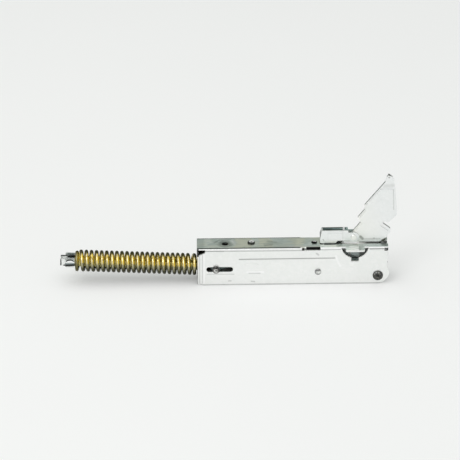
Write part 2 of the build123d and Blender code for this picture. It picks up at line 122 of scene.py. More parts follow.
class Nodes:
    """Short names for building a node tree."""

    def __init__(self, tree):
        self.tree = tree

    def put(self, socket, value):
        """Link an output to the socket, or set a number, vector or colour on it."""
        if hasattr(value, "is_output"):
            self.tree.links.new(value, socket)
        elif socket.type == "RGBA":
            socket.default_value = (*value, 1.0)
        else:
            socket.default_value = value

    def fill(self, node, inputs):
        """Put each value on the input of that name or number. None leaves it alone."""
        for key, value in inputs.items():
            if value is not None:
                self.put(node.inputs[key], value)

    def node(self, kind, inputs=None, **settings):
        n = self.tree.nodes.new(kind)
        for key, value in settings.items():
            setattr(n, key, value)
        self.fill(n, inputs or {})
        return n

    def math(self, op, a, b=0.0, c=0.0, clamp=False):
        n = self.node("ShaderNodeMath", {0: a, 1: b, 2: c}, operation=op, use_clamp=clamp)
        return n.outputs[0]

    def chain(self, op, values):
        """The values joined by one operation, from left to right."""
        total, *others = values
        for value in others:
            total = self.math(op, total, value)
        return total

    def times(self, *values):
        return self.chain("MULTIPLY", values)

    def most(self, *values):
        return self.chain("MAXIMUM", values)

    def weighted(self, *pairs):
        """The sum of values, each times its weight."""
        return self.chain("ADD", [self.times(value, weight) for value, weight in pairs])

    def without(self, amount):
        return self.math("SUBTRACT", 1.0, amount)

    def vector(self, op, a, b=None, scale=None):
        """Vector maths: a length or a dot product is a number, the rest are vectors."""
        n = self.node("ShaderNodeVectorMath", {0: a, 1: b, "Scale": scale}, operation=op)
        return n.outputs["Value"] if op in ("DOT_PRODUCT", "LENGTH") else n.outputs[0]

    def separate(self, vector):
        """The outputs X, Y and Z of a vector."""
        return self.node("ShaderNodeSeparateXYZ", {0: vector}).outputs

    def flat(self, u, v):
        return self.node("ShaderNodeCombineXYZ", {0: u, 1: v}).outputs[0]

    def span(self, value, low, high, start=0.0, end=1.0):
        """From start to end while the value goes from low to high, and level outside."""
        n = self.node("ShaderNodeMapRange", {"Value": value, "From Min": low, "From Max": high,
                                             "To Min": start, "To Max": end}, clamp=True)
        return n.outputs["Result"]

    def fall(self, value, low, high):
        return self.span(value, low, high, 1.0, 0.0)

    def band(self, value, low, high, soft):
        """One from low to high, with a soft edge outside each."""
        return self.times(self.span(value, low - soft, low), self.fall(value, high, high + soft))

    def ramp(self, fac, stops):
        n = self.node("ShaderNodeValToRGB", {"Fac": fac})
        elements = n.color_ramp.elements
        while len(elements) < len(stops):
            elements.new(0.5)
        for element, (place, colour) in zip(elements, stops):
            element.position = place
            element.color = (*colour, 1.0)
        return n.outputs["Color"]

    def mix(self, fac, a, b, mode="MIX"):
        n = self.node("ShaderNodeMix", {"Factor": fac, "A": a, "B": b},
                      data_type="RGBA", blend_type=mode)
        return n.outputs["Result"]

    def coats(self, colour, *coats):
        """The colour with coats over it, one after another: how much, and what colour."""
        for amount, paint in coats:
            colour = self.mix(amount, colour, paint)
        return colour


class Graph(Nodes):
    """One material's nodes, laid out in object coordinates."""

    def __init__(self, name):
        self.mat = bpy.data.materials.new(name)
        self.mat.use_nodes = True
        super().__init__(self.mat.node_tree)
        self.bsdf = self.tree.nodes["Principled BSDF"]
        coordinates = self.node("ShaderNodeTexCoord").outputs
        self.coord = coordinates["Object"]
        self.own_normal = coordinates["Normal"]

    def place(self):
        """Where the surface is, in millimetres, with X from the pivot axis."""
        s = self.separate(self.coord)
        x = self.math("MULTIPLY_ADD", s["X"], 1 / MM, -SHIFT)
        return x, self.times(s["Y"], 1 / MM), self.times(s["Z"], 1 / MM)

    def seen(self, y, z):
        """Height as the photo shows it, so that one row marks what lies behind too."""
        return self.math("MULTIPLY_ADD", y, SIN_EL, self.times(z, COS_EL))

    def segment(self, flat, row):
        """A soft mark along a straight line: u0, v0, u1, v1, half width, soft edge, amount."""
        u0, v0, u1, v1, wide, soft, amount = row
        run = Vector((u1 - u0, v1 - v0, 0.0))
        away = self.vector("SUBTRACT", flat, (u0, v0, 0.0))
        along = self.vector("DOT_PRODUCT", away, tuple(run / run.length_squared))
        part = self.math("MULTIPLY", along, 1.0, clamp=True)
        away = self.vector("SUBTRACT", away, self.vector("SCALE", tuple(run), scale=part))
        return self.span(self.vector("LENGTH", away), wide, wide + soft, amount, 0.0)

    def marks(self, flat, rows):
        return self.most(*[self.segment(flat, row) for row in rows])

    def patch(self, u, v, row):
        """A soft rectangle: low u, high u, low v, high v, soft edge, amount."""
        u0, u1, v0, v1, soft, amount = row
        return self.times(self.band(u, u0, u1, soft), self.band(v, v0, v1, soft), amount)

    def patches(self, u, v, rows):
        return self.most(*[self.patch(u, v, row) for row in rows])

    def mapped(self, scale, turn=(0.0, 0.0, 0.0)):
        """Object coordinates for a texture with a grain: stretched where the scale is small."""
        n = self.node("ShaderNodeMapping",
                      {"Vector": self.coord, "Scale": scale, "Rotation": turn})
        return n.outputs["Vector"]

    def noise(self, scale, detail, rough=0.5, vector=None, distortion=0.0):
        n = self.node("ShaderNodeTexNoise", {
            "Vector": vector or self.coord, "Scale": scale, "Detail": detail,
            "Roughness": rough, "Distortion": distortion})
        return n.outputs["Fac"]

    def varied(self, noise, low, high):
        """A measure that wanders from low to high with the noise."""
        return self.span(noise, *NOISE_REACH, low, high)

    def cells(self, scale):
        return self.node("ShaderNodeTexVoronoi", {"Vector": self.coord, "Scale": scale}).outputs

    def tilt(self, colour, amount):
        """A normal that leans a little its own way in each crystal."""
        lean = self.vector("SCALE", self.vector("SUBTRACT", colour, MIDDLE_GREY), scale=amount)
        normal = self.node("ShaderNodeNewGeometry").outputs["Normal"]
        return self.vector("NORMALIZE", self.vector("ADD", normal, lean))

    def bump(self, height, strength, depth, normal=None):
        n = self.node("ShaderNodeBump", {"Strength": strength, "Distance": depth,
                                         "Height": height, "Normal": normal})
        return n.outputs["Normal"]

    def finish(self, colour, roughness, metallic=1.0, normal=None):
        self.fill(self.bsdf, {"Base Color": colour, "Roughness": roughness,
                              "Metallic": metallic, "Normal": normal})
        return self.mat


# ---- zinc coated sheet ----
# A noise is given as repeats in a metre, detail and roughness. A bump is strength and depth.
CRYSTALS = 420.0            # in a metre
FINE_CRYSTALS = CRYSTALS * 2.7
CRYSTAL_EDGE = 0.9
CRYSTAL_LEAN = 0.05
SHEET_WAVES = (900.0, 2.0)
SHEET_CLOUD = (60.0, 4.0, 0.6)
ROLLED, ROLLED_GRAIN = (300.0, 2.0, 0.5), (0.08, 1.0, 1.0)
SPOTTED = (0.25, 0.85)
RUBBED = (0.3, 1.1)
SMOOTHER, ROUGHER = 0.06, 0.08
SHEET_BUMP = (0.12, 0.00008)
EVEN, MOTTLED = 0.35, 0.5   # how far the dark tone goes in


def sheet_metal(g, light, dark, rough, mottle):
    """Zinc coat's colour, roughness and normal: crystals, rolling marks, a little soiling."""
    crystal = g.cells(CRYSTALS)
    tone = g.node("ShaderNodeSeparateColor", {"Color": crystal["Color"]}).outputs
    shade = g.span(crystal["Distance"], 0.0, CRYSTAL_EDGE)
    rolled = g.noise(*ROLLED, g.mapped(ROLLED_GRAIN))
    spots = g.weighted((tone["Red"], 0.5), (g.noise(*SHEET_CLOUD), 0.5), (shade, 0.15))
    colour = g.mix(g.span(spots, *SPOTTED, 0.0, mottle), light, dark)
    rubbed = g.weighted((rolled, 1.0), (tone["Green"], 0.4))
    roughness = g.span(rubbed, *RUBBED, rough - SMOOTHER, rough + ROUGHER)
    height = g.weighted((rolled, 0.6), (g.noise(*SHEET_WAVES), 0.4),
                        (g.cells(FINE_CRYSTALS)["Distance"], 0.3))
    return colour, roughness, g.bump(height, *SHEET_BUMP, g.tilt(crystal["Color"], CRYSTAL_LEAN))


# ---- the housing ----
SHEET_LIGHT, SHEET_DARK, SHEET_ROUGH = (0.93, 0.935, 0.925), (0.82, 0.845, 0.82), 0.34
WEB_GREEN, WEB_YELLOW, WEB_STREAK = (0.93, 1.0, 0.97), (1.0, 1.0, 0.86), (0.64, 0.72, 0.67)
DULL_TONE, CLOUD_TONE = (0.45, 0.52, 0.49), (0.45, 0.52, 0.50)
# Tones of the web's light marks, some of them painted reflections, and of its dark marks, most of
# them painted shade.
PALE_MARK_AND_REFLECTION_TONE, DARK_MARK_AND_SHADE_TONE = (1.0, 1.0, 0.98), (0.12, 0.14, 0.13)
# Tones of painted shade: the bend's dark line, the lines on the sides, the holes, the nooks and
# inside, with painted light inside.
BEND_TONE, LINE_TONE = (0.03, 0.04, 0.036), (0.28, 0.29, 0.28)
HOLE_TONE, NOOK_TONE = (0.02, 0.022, 0.018), (0.012, 0.012, 0.012)
INSIDE_TONE, INSIDE_LIT = (0.055, 0.07, 0.062), (0.40, 0.47, 0.46)
BEND_AMOUNT, HOLE_AMOUNT, INSIDE_AMOUNT = 0.96, 0.93, 0.80

# The web's noises, with their grain and how much they are bent.
PATCHY, PATCHY_GRAIN, PATCHY_BEND = (70.0, 3.0, 0.6), (0.55, 1.0, 1.0), 0.8
BRUSHED, BRUSHED_GRAIN, BRUSHED_BEND = (250.0, 4.0, 0.65), (0.30, 1.0, 1.0), 0.9
BRUSHED_TURN = (0.0, 0.0, 0.35)     # in radians
WANDER, WANDER_REACH = (95.0, 2.0, 0.5), 18.0
YELLOWED, YELLOW_PULL = (0.40, 0.75), 0.35
STREAKED = (0.47, 0.60, 0.0, 0.55)

# Soft steps on the housing: where a surface starts and where it is full, in |Y| or Z.
OUTER_Y = (10.2, 10.35)
WEB_Z, WEB_Y, WEB_TOP_Z = (32.2, 32.4), (9.0, 9.2), (33.2, 33.36)
BEND_Z = (32.9, 33.1)
INNER_Y, INNER_Z = (9.46, 9.58), (31.8, 31.95)
NOOK_Y = (8.9, 8.98)
COLLAR_Z = (29.2, 29.6)
HOLE_LOW_Z, HOLE_TOP_Z = (29.2, 29.4), (33.34, 33.38)
GLINT_Y = (1.2, 2.0)
# Bands on it: low, high, soft edge. The collar is the drawn one round a screw hole of the web.
BEND_BAND_Y, BEND_BAND_X = (8.95, 10.05, 0.25), (-150.0, -65.0, 1.0)
COLLAR_X = (-56.5, -49.0, 0.2)
HOLE_X, HOLE_Y = (-55.6, -49.6, 0.1), (0.0, 2.9, 0.1)

# Patches: low X, high X, low Y, high Y, soft edge, amount.
WEB_WARM = ((-117.0, -108.5, -9.0, 9.0, 2.0, 1.0), (-97.0, -87.5, -9.0, 9.0, 2.5, 1.0),
            (-70.0, -61.0, -9.0, 9.0, 3.0, 0.8), (-50.0, -30.0, -11.0, 11.0, 2.0, 0.5))
WEB_CLOUD = ((-84.0, -71.0, -9.0, 9.0, 4.0, 0.22), (-138.0, -131.0, -3.0, 6.0, 3.0, 0.28),
             (-93.0, -86.5, -7.0, 3.0, 2.0, 0.30), (-124.0, -119.0, -4.0, 9.0, 3.0, 0.20))
WEB_DULL = ((-150.5, -145.5, -9.0, 9.0, 2.0, 0.35), (-47.0, -30.0, -11.0, 11.0, 1.5, 0.35),
            (-28.0, -17.0, -11.0, -6.0, 1.5, 0.42), (-15.5, 9.0, -17.0, 11.0, 1.5, 0.75))
# Patches in X and Z.
# a painted highlight on the far wall of the collar's hole
COLLAR_GLINT = (-53.6, -51.2, 32.7, 33.6, 0.3, 1.0)
# painted shade in the reliefs, the slits and the nooks
NOOKS = ((-59.6, -48.0, 31.55, 33.32, 0.15, 1.0), (-63.0, -61.4, 31.2, 32.6, 0.5, 0.7),
         (-152.0, -149.0, 26.0, 33.0, 0.2, 0.9), (5.3, 8.5, 30.2, 32.5, 0.25, 1.0))
# Patches of painted light inside, in X and height as the photo shows it.
WINDOW_LIT = ((-25.5, -22.0, 18.3, 20.2, 1.0, 0.8), (-20.5, -17.0, 18.2, 19.8, 1.0, 0.6))

# Lines: X and Y of both ends, half width, soft edge, amount.
# Light marks; those on the wing beside the lever are painted reflections of the lever.
WEB_LIGHT = ((-73.5, -7.9, -50.0, -8.4, 0.3, 0.7, 0.8),
             (-143.0, 4.4, -136.5, 1.5, 0.3, 1.2, 0.5),
             (-121.0, 6.5, -119.0, -2.5, 0.5, 1.2, 0.55),
             (-23.5, -9.5, -17.0, -10.5, 0.4, 0.9, 0.8),
             (-22.0, -12.5, -16.8, -15.0, 0.5, 1.0, 0.8),
             (-27.5, -16.3, -17.0, -16.3, 0.3, 0.6, 0.9))
# Dark marks, most of them painted shade.
WEB_DARK = ((-136.0, 1.0, -131.0, 6.5, 0.3, 1.2, 0.35),
            (-93.5, -5.0, -88.5, -4.0, 0.3, 2.0, 0.25),
            (-91.0, 2.5, -85.0, 0.5, 0.2, 1.8, 0.22),
            # painted shade in the dished hole
            (-127.0, 1.0, -127.0, 3.0, 3.4, 3.0, 0.62),
            (-127.0, 0.6, -127.0, -0.2, 2.6, 0.5, 1.0),
            (-15.6, -16.0, -15.4, -9.5, 0.2, 1.0, 0.35),
            # painted shadow along the lever's near foot
            (-43.8, -4.5, -36.0, -4.3, 0.8, 0.6, 1.0),
            (-46.4, -4.0, -45.8, -4.0, 0.3, 0.6, 0.8),
            # painted shade on the near side of the collar's hole
            (-53.9, -3.3, -51.5, -3.3, 0.8, 0.6, 1.0))
# Lines in X and Z.
SIDE_LINES = (
    # the shadow under the fold
    (-143.5, 31.35, -128.0, 31.3, 0.2, 0.40, 0.85),
    (-128.0, 31.3, -63.5, 31.15, 0.2, 0.40, 0.62),
    (-63.5, 31.3, -31.0, 31.7, 0.2, 0.4, 0.5),
    (-7.0, 31.8, 4.6, 31.9, 0.2, 0.4, 0.8),
    # painted shade along the crease, and along the step at the spring's end
    (-115.4, 23.55, -35.9, 23.85, 0.22, 0.45, 0.55),
    (-148.5, 1.5, -148.2, 29.5, 0.15, 0.50, 0.40),
    (-146.0, 2.0, -145.7, 29.3, 0.15, 0.5, 0.35),
    # painted shade in small marks and dimples and under the pin's slot, and a painted contact
    # shadow along the lower edge
    (-107.3, 11.0, -98.2, 10.8, 0.15, 0.7, 0.50),
    (-124.4, 3.6, -122.4, 3.8, 0.1, 0.7, 0.40),
    (-105.3, 3.1, -102.9, 2.8, 0.2, 0.7, 0.40),
    (-51.2, 28.2, -49.6, 26.9, 0.3, 0.8, 0.35),
    (-142.3, 10.2, -119.8, 10.0, 0.10, 0.50, 0.40),
    (-147.5, 0.3, 2.0, 0.3, 0.35, 0.5, 0.50),
)
# Painted highlights on the sides.
SIDE_GLEAMS = (
    (-108.9, 11.9, -95.4, 11.7, 0.4, 0.6, 1.0),
    (-34.9, 25.7, -33.6, 21.0, 0.3, 1.0, 0.8),
    (-33.6, 21.0, -31.4, 16.4, 0.3, 1.0, 0.8),
    (-144.9, 2.0, -144.6, 29.5, 0.5, 0.5, 0.8),
)


def housing_zinc():
    """The folded housing: pale sides, a greener web, press marks with painted shade along them,
    painted shade inside and in its holes, painted highlights and reflections.
    """
    g = Graph("sheet_zinc")
    colour, roughness, normal = sheet_metal(g, SHEET_LIGHT, SHEET_DARK, SHEET_ROUGH, EVEN)
    x, y, z = g.place()
    side = g.math("ABSOLUTE", y)
    from_above, from_front = g.flat(x, y), g.flat(x, z)

    # The web: grey-green and yellow-green patches with brush streaks, darker patches, and light
    # and dark marks, some of them painted reflections and painted shade.
    web = g.most(g.times(g.span(z, *WEB_Z), g.fall(side, *WEB_Y)), g.span(z, *WEB_TOP_Z))
    patchy = g.noise(*PATCHY, g.mapped(PATCHY_GRAIN), PATCHY_BEND)
    brushed = g.noise(*BRUSHED, g.mapped(BRUSHED_GRAIN, BRUSHED_TURN), BRUSHED_BEND)
    wandering = g.math("MULTIPLY_ADD", g.noise(*WANDER), WANDER_REACH,
                       g.math("SUBTRACT", x, WANDER_REACH / 2))
    yellow = g.math("MULTIPLY_ADD", g.patches(wandering, y, WEB_WARM), YELLOW_PULL, patchy)
    tint = g.coats(WEB_GREEN,
                   (g.span(yellow, *YELLOWED), WEB_YELLOW),
                   (g.span(brushed, *STREAKED), WEB_STREAK),
                   (g.patches(x, y, WEB_DULL), DULL_TONE),
                   (g.patches(wandering, y, WEB_CLOUD), CLOUD_TONE),
                   (g.marks(from_above, WEB_LIGHT), PALE_MARK_AND_REFLECTION_TONE),
                   (g.marks(from_above, WEB_DARK), DARK_MARK_AND_SHADE_TONE))
    # a painted dark line along the top of the web's front bend
    bend = g.times(g.band(side, *BEND_BAND_Y), g.band(x, *BEND_BAND_X), BEND_AMOUNT,
                   g.span(z, *BEND_Z))

    # The drawn collar's hole: painted shade on its walls, and a painted highlight on the far one.
    walls = g.times(g.band(x, *HOLE_X), g.band(side, *HOLE_Y),
                    g.times(g.span(z, *HOLE_LOW_Z), g.fall(z, *HOLE_TOP_Z)))
    glint = g.times(walls, g.patch(x, z, COLLAR_GLINT), g.span(y, *GLINT_Y))

    # Painted shade inside, in the reliefs and in the slits beside the arm's slot, with painted
    # light where the window lets it in.
    collar = g.times(g.band(x, *COLLAR_X), g.span(z, *COLLAR_Z))
    inside = g.times(g.fall(side, *INNER_Y), g.fall(z, *INNER_Z), g.without(collar))
    dim = g.mix(g.patches(x, g.seen(y, z), WINDOW_LIT), INSIDE_TONE, INSIDE_LIT)
    nooks = g.times(g.patches(x, z, NOOKS), g.span(side, *NOOK_Y))

    outer = g.span(side, *OUTER_Y)
    colour = g.coats(colour,
                     (web, tint),
                     (bend, BEND_TONE),
                     (g.times(g.marks(from_front, SIDE_LINES), outer), LINE_TONE),
                     (g.times(g.marks(from_front, SIDE_GLEAMS), outer), WHITE),
                     (g.times(walls, HOLE_AMOUNT), HOLE_TONE),
                     (glint, WHITE),
                     (g.times(inside, INSIDE_AMOUNT), dim),
                     (nooks, NOOK_TONE))
    return g.finish(colour, roughness, g.without(glint), normal)


# ---- the spring ----
# Stops of the gold, by its noise.
GOLD = ((0.30, (0.50, 0.35, 0.030)), (0.43, (0.80, 0.57, 0.050)),
        (0.56, (0.96, 0.70, 0.080)), (0.72, (0.70, 0.49, 0.045)))
# Painted light and shade: the pale tone is a painted highlight on one flank of each turn, the
# edge tone painted shade on its steep edges.
GOLD_HIGHLIGHT, GOLD_EDGE, GOLD_FLECK = (0.86, 0.80, 0.54), (0.20, 0.16, 0.02), (0.10, 0.08, 0.02)
# The grey tones are painted shade on the lower part, with its own painted highlight, painted dark
# edges and a painted darker bottom.
GREY_DARK, GREY_LIGHT, GREY_HIGHLIGHT = (0.21, 0.195, 0.11), (0.32, 0.30, 0.175), (0.44, 0.42, 0.29)
GREY_EDGE, GREY_LOW = (0.07, 0.072, 0.035), (0.045, 0.045, 0.020)
# The olive is a painted dark reflection on top.
OLIVE, FIRST_TURN = (0.085, 0.077, 0.022), (0.13, 0.11, 0.035)
# For the gaps: painted shade, and a painted reflection of the gold.
GAP_DARK, GAP_GOLD = (0.060, 0.065, 0.020), (0.95, 0.76, 0.12)
BROAD, BROAD_BEND = (55.0, 3.0, 0.6), 0.6
SMALL = (500.0, 3.0, 0.6)
BROAD_SHARE, SMALL_SHARE = 0.6, 0.4
DRAWN, DRAWN_GRAIN = (1500.0, 2.0, 0.6), (1.0, 0.12, 0.12)
DRAWN_BUMP = (0.15, 0.00004)
RAGGED = 0.45               # how far the small noise moves the borders of the zones
GOLD_ROUGH = (0.20, 0.34)
# Zones of painted light and shade by height over the coil's axis as the photo shows it, in coil
# radii, some with amounts.
LOWEST_ZONE = (-0.78, -0.44, 0.9, 0.0)
GREY_ZONE = (-0.34, -0.12)
FLECK_ZONE = (0.0, 0.3, 0.3, 1.0)
OLIVE_ZONE = (0.50, 0.74)
GAP_ZONE = (-0.1, 0.55, 0.1)
# The outer half of the wire, by distance from the coil's axis, and its share of metal.
CROWN = (6.5, 7.7)
CROWN_METAL = (0.0, 0.8, 0.2, 1.0)
# The first turn by X, and by the X of its normal a turn's flank with the painted highlight and
# its steep edges with painted shade.
FIRST_TURN_X = (-250.0, -248.4, 0.72, 0.0)
HIGHLIGHT_FLANK = (-0.48, 0.06, 0.16)
TURN_EDGE = (0.72, 0.92)
# Noise values, some with the amounts that they give.
HIGHLIGHT_DRAWN = (0.38, 0.52, 0.35, 0.95)
EDGE_BROAD = (0.40, 0.52, 0.3, 0.8)
FLECK_SMALL = (0.54, 0.62, 0.0, 0.7)
GREY_DRAWN = (0.4, 0.65)


def spring_gold():
    """Yellow passivated wire with light and shade painted by height: a painted dark olive
    reflection on top, gold with a painted pale highlight in the middle, painted grey shade below.

    The inner half of the wire shows in the gaps between turns, painted gold at mid height as a
    reflection and painted shade elsewhere."""
    g = Graph("gold_wire")
    x, y, z = g.place()
    slope = tan(radians(ROD_TILT))
    axis = ROD_DROP - CROSSHEAD[1] - CROSSHEAD[0] * slope
    up = g.math("ADD", g.math("MULTIPLY_ADD", x, slope, axis), z)
    side = g.math("ABSOLUTE", y)
    out = g.math("SQRT", g.math("ADD", g.times(up, up), g.times(y, y)))
    crown = g.span(out, *CROWN)
    across = g.separate(g.own_normal)["X"]
    broad = g.noise(*BROAD, distortion=BROAD_BEND)
    small = g.noise(*SMALL)
    drawn = g.noise(*DRAWN, g.mapped(DRAWN_GRAIN))
    high = g.math("MULTIPLY_ADD", up, COS_EL, g.times(side, -SIN_EL))
    high = g.math("DIVIDE", high, COIL_OUTSIDE / 2)
    high = g.math("ADD", high, g.math("MULTIPLY_ADD", small, RAGGED, -RAGGED / 2))

    # a painted highlight along one flank of each turn, broken by the drawn noise
    lighter = g.times(g.band(across, *HIGHLIGHT_FLANK), g.span(drawn, *HIGHLIGHT_DRAWN))
    # painted shade on each turn's steep edges
    edge = g.span(g.math("ABSOLUTE", across), *TURN_EDGE)
    flecks = g.times(g.span(small, *FLECK_SMALL), g.span(high, *FLECK_ZONE))
    gold = g.ramp(g.math("MULTIPLY_ADD", broad, BROAD_SHARE, g.times(small, SMALL_SHARE)), GOLD)
    grey = g.coats(GREY_DARK,
                   (g.span(drawn, *GREY_DRAWN), GREY_LIGHT),
                   (lighter, GREY_HIGHLIGHT),
                   (edge, GREY_EDGE),
                   (g.span(high, *LOWEST_ZONE), GREY_LOW))
    outside = g.coats(gold,
                      (lighter, GOLD_HIGHLIGHT),
                      (g.times(edge, g.span(broad, *EDGE_BROAD)), GOLD_EDGE),
                      (flecks, GOLD_FLECK),
                      (g.fall(high, *GREY_ZONE), grey),
                      (g.span(high, *OLIVE_ZONE), OLIVE),
                      (g.span(x, *FIRST_TURN_X), FIRST_TURN))
    # the inner half: painted shade, with a painted gold reflection at mid height
    between = g.mix(g.band(high, *GAP_ZONE), GAP_DARK, GAP_GOLD)
    return g.finish(g.mix(crown, between, outside), g.varied(small, *GOLD_ROUGH),
                    g.span(crown, *CROWN_METAL), g.bump(drawn, *DRAWN_BUMP))


# ---- the pull rod ----
ROD_LIGHT, ROD_SHADE, ROD_ROUGH = (0.92, 0.93, 0.92), (0.74, 0.77, 0.75), 0.28
ROD_GREY_TONE, ROD_DARK_TONE = (0.22, 0.26, 0.26), (0.012, 0.014, 0.012)
# Inside the coil: a painted gold reflection, painted shade low down, and painted shade past the
# coil.
COIL_GLOW, COIL_SHADE, PAST_COIL = (0.98, 0.86, 0.28), (0.22, 0.21, 0.06), (0.03, 0.028, 0.018)
COIL_LOW_Z = (13.0, 17.5)
HIDDEN_EDGE, PAST_EDGE = 0.8, 1.0   # soft edges along X
HIDDEN_METAL = 0.2
# Lines of painted shade, grey and highlight on the prongs: X and height as the photo shows it of
# both ends, half width, soft edge, amount.
ROD_DARK = (
    (-264.4, 21.7, -258.9, 21.5, 0.25, 0.35, 0.95),
    (-257.7, 20.6, -252.6, 20.6, 0.8, 0.5, 0.97),
    (-259.2, 16.7, -257.8, 17.5, 0.25, 0.4, 1.0),
    (-257.8, 17.5, -255.3, 17.7, 0.35, 0.4, 1.0),
    (-255.3, 17.7, -252.8, 16.5, 0.25, 0.4, 1.0),
    (-264.1, 17.9, -264.1, 14.0, 0.45, 0.4, 1.0),
    (-261.3, 13.1, -253.0, 13.4, 0.65, 0.5, 0.97),
)
# painted grey reflections
ROD_GREY = (
    (-257.6, 22.9, -252.1, 23.0, 0.9, 0.6, 0.75),
    (-260.0, 14.4, -252.9, 14.5, 0.5, 0.5, 0.9),
)
# a painted highlight
ROD_WHITE = ((-263.0, 19.0, -253.0, 19.2, 0.8, 0.5, 1.0),)


def rod_metal():
    """Bright prongs with painted shadows and highlights, and inside the coil painted reflections
    of its gold, with painted shade past the coil's end.
    """
    g = Graph("rod_zinc")
    colour, roughness, normal = sheet_metal(g, ROD_LIGHT, ROD_SHADE, ROD_ROUGH, MOTTLED)
    x, y, z = g.place()
    flat = g.flat(x, g.seen(y, z))
    hidden = g.span(x, ROD_SHOWN, ROD_SHOWN + HIDDEN_EDGE)
    coil_end = CROSSHEAD[0] + SPRING_END
    # inside the coil: a painted gold reflection, with painted shade low down and past the coil
    warm = g.coats(COIL_GLOW,
                   (g.fall(z, *COIL_LOW_Z), COIL_SHADE),
                   (g.span(x, coil_end, coil_end + PAST_EDGE), PAST_COIL))
    colour = g.coats(colour,
                     (g.marks(flat, ROD_WHITE), WHITE),
                     (g.marks(flat, ROD_GREY), ROD_GREY_TONE),
                     (g.marks(flat, ROD_DARK), ROD_DARK_TONE),
                     (hidden, warm))
    return g.finish(colour, roughness, g.span(hidden, 0.0, 1.0, 1.0, HIDDEN_METAL), normal)


# ---- the arm and the lever ----
PLATE_ROUGH = 0.36
WINDOW_LIGHT = (0.74, 0.84, 0.83)   # painted light that the window lets in, on the pieces behind it
ARM_LIGHT, ARM_SHADE = (0.925, 0.935, 0.935), (0.81, 0.83, 0.825)
# A warm tint, and the tone of the painted shade lines.
ARM_WARM, ARM_PAINTED_SHADE = (0.935, 0.94, 0.90), (0.05, 0.05, 0.03)
# The arm gets less warm to the right and up: how much Z counts, and from where to where.
ARM_WARM_RISE, ARM_WARM_REACH = 0.3, (-8.0, 22.0)
LIT_METAL_LOSS = 0.9
# Lines: X and Z of both ends, half width, soft edge, amount.
# Painted shade along the arm's edges and near its foot.
ARM_DARK = (
    (-14.4, 39.0, -12.6, 37.2, 0.5, 1.1, 0.50),
    (-12.4, 37.0, 1.9, 37.1, 0.1, 0.7, 0.22),
    (-3.6, 37.3, -2.8, 37.3, 0.4, 0.5, 0.35),
    (-14.7, 33.6, 2.0, 33.5, 0.35, 0.5, 0.85),
    (2.0, 33.4, 7.6, 33.4, 0.9, 0.5, 0.97),
    (4.4, 34.9, 6.8, 36.2, 1.2, 0.8, 0.93),
    (12.3, 81.3, 12.7, 63.5, 0.1, 0.6, 0.22),
    (5.2, 84.4, 11.8, 85.0, 0.5, 1.8, 0.14),
    (7.3, 95.2, 9.3, 94.2, 0.5, 0.6, 0.75),
    (8.3, 92.2, 8.9, 92.0, 0.2, 0.6, 0.5),
    (-30.6, 35.5, -16.5, 35.3, 0.15, 0.5, 0.45),
    (-30.6, 31.9, -16.4, 31.7, 0.2, 0.5, 0.75),
)
# Painted highlights near the arm's foot.
ARM_PALE = ((-30.0, 33.8, -16.5, 33.3, 0.8, 0.5, 0.9), (-14.0, 35.0, -1.0, 35.0, 0.3, 0.5, 0.8))
# Patches of painted light on the arm's foot that the window shows: low X, high X, low Z, high Z,
# soft, amount.
ARM_LIT = ((-21.8, -15.4, 20.4, 23.9, 1.0, 0.9), (-27.2, -24.0, 22.8, 26.0, 0.8, 0.6))

LEVER_LIGHT, LEVER_SHADE = (0.92, 0.935, 0.93), (0.79, 0.82, 0.80)
# The tone of the painted shade lines.
LEVER_PAINTED_SHADE = (0.05, 0.06, 0.05)
# The far leg's inside: a painted teal reflection, painted dark lines, and a painted highlight at
# its end.
FAR_LEG_TONE, FAR_LEG_DARK = (0.80, 1.0, 0.98), (0.02, 0.035, 0.035)
FAR_LEG_Y, FAR_LEG_Z = (2.3, 2.9, 0.1), (42.3, 42.6)
FAR_LEG_END = (-28.9, -27.5, 42.0, 45.4, 0.2, 1.0)
# The inside of the lever's far leg, over the near one: painted dark lines along its top and foot,
# and at its end.
LEVER_FAR = (
    (-47.0, 45.45, -29.0, 45.35, 0.15, 0.35, 0.95),
    (-46.0, 43.55, -29.0, 43.5, 0.10, 0.35, 0.90),
    (-27.1, 45.4, -26.6, 44.0, 0.15, 0.35, 0.9),
)
# Painted shade along the lever's edges and under it.
LEVER_DARK = (
    (-46.6, 48.9, -48.6, 37.6, 0.35, 0.45, 0.85),
    (-47.8, 33.2, -46.8, 33.2, 0.2, 0.4, 0.7),
    (-43.9, 33.2, -35.2, 33.1, 0.55, 0.4, 1.0),
    (-41.5, 43.2, -29.9, 43.0, 0.05, 0.5, 0.10),
    (-41.5, 43.2, -41.5, 37.0, 0.05, 0.5, 0.08),
    (-45.6, 37.6, -45.0, 36.6, 0.2, 0.5, 0.3),
    (-29.2, 45.2, -29.2, 36.5, 0.05, 0.8, 0.10),
)


def arm_metal():
    """The arm's plates and rivets: painted highlights, painted shade along edges and near the
    foot, painted light on the foot.
    """
    g = Graph("arm_zinc")
    colour, roughness, normal = sheet_metal(g, ARM_LIGHT, ARM_SHADE, PLATE_ROUGH, EVEN)
    x, _, z = g.place()
    flat = g.flat(x, z)
    across = g.math("MULTIPLY_ADD", z, ARM_WARM_RISE, x)
    lit = g.patches(x, z, ARM_LIT)
    colour = g.coats(colour,
                     (g.fall(across, *ARM_WARM_REACH), ARM_WARM),
                     (g.marks(flat, ARM_PALE), WHITE),
                     (lit, WINDOW_LIGHT),
                     (g.marks(flat, ARM_DARK), ARM_PAINTED_SHADE))
    return g.finish(colour, roughness, g.math("MULTIPLY_ADD", lit, -LIT_METAL_LOSS, 1.0), normal)


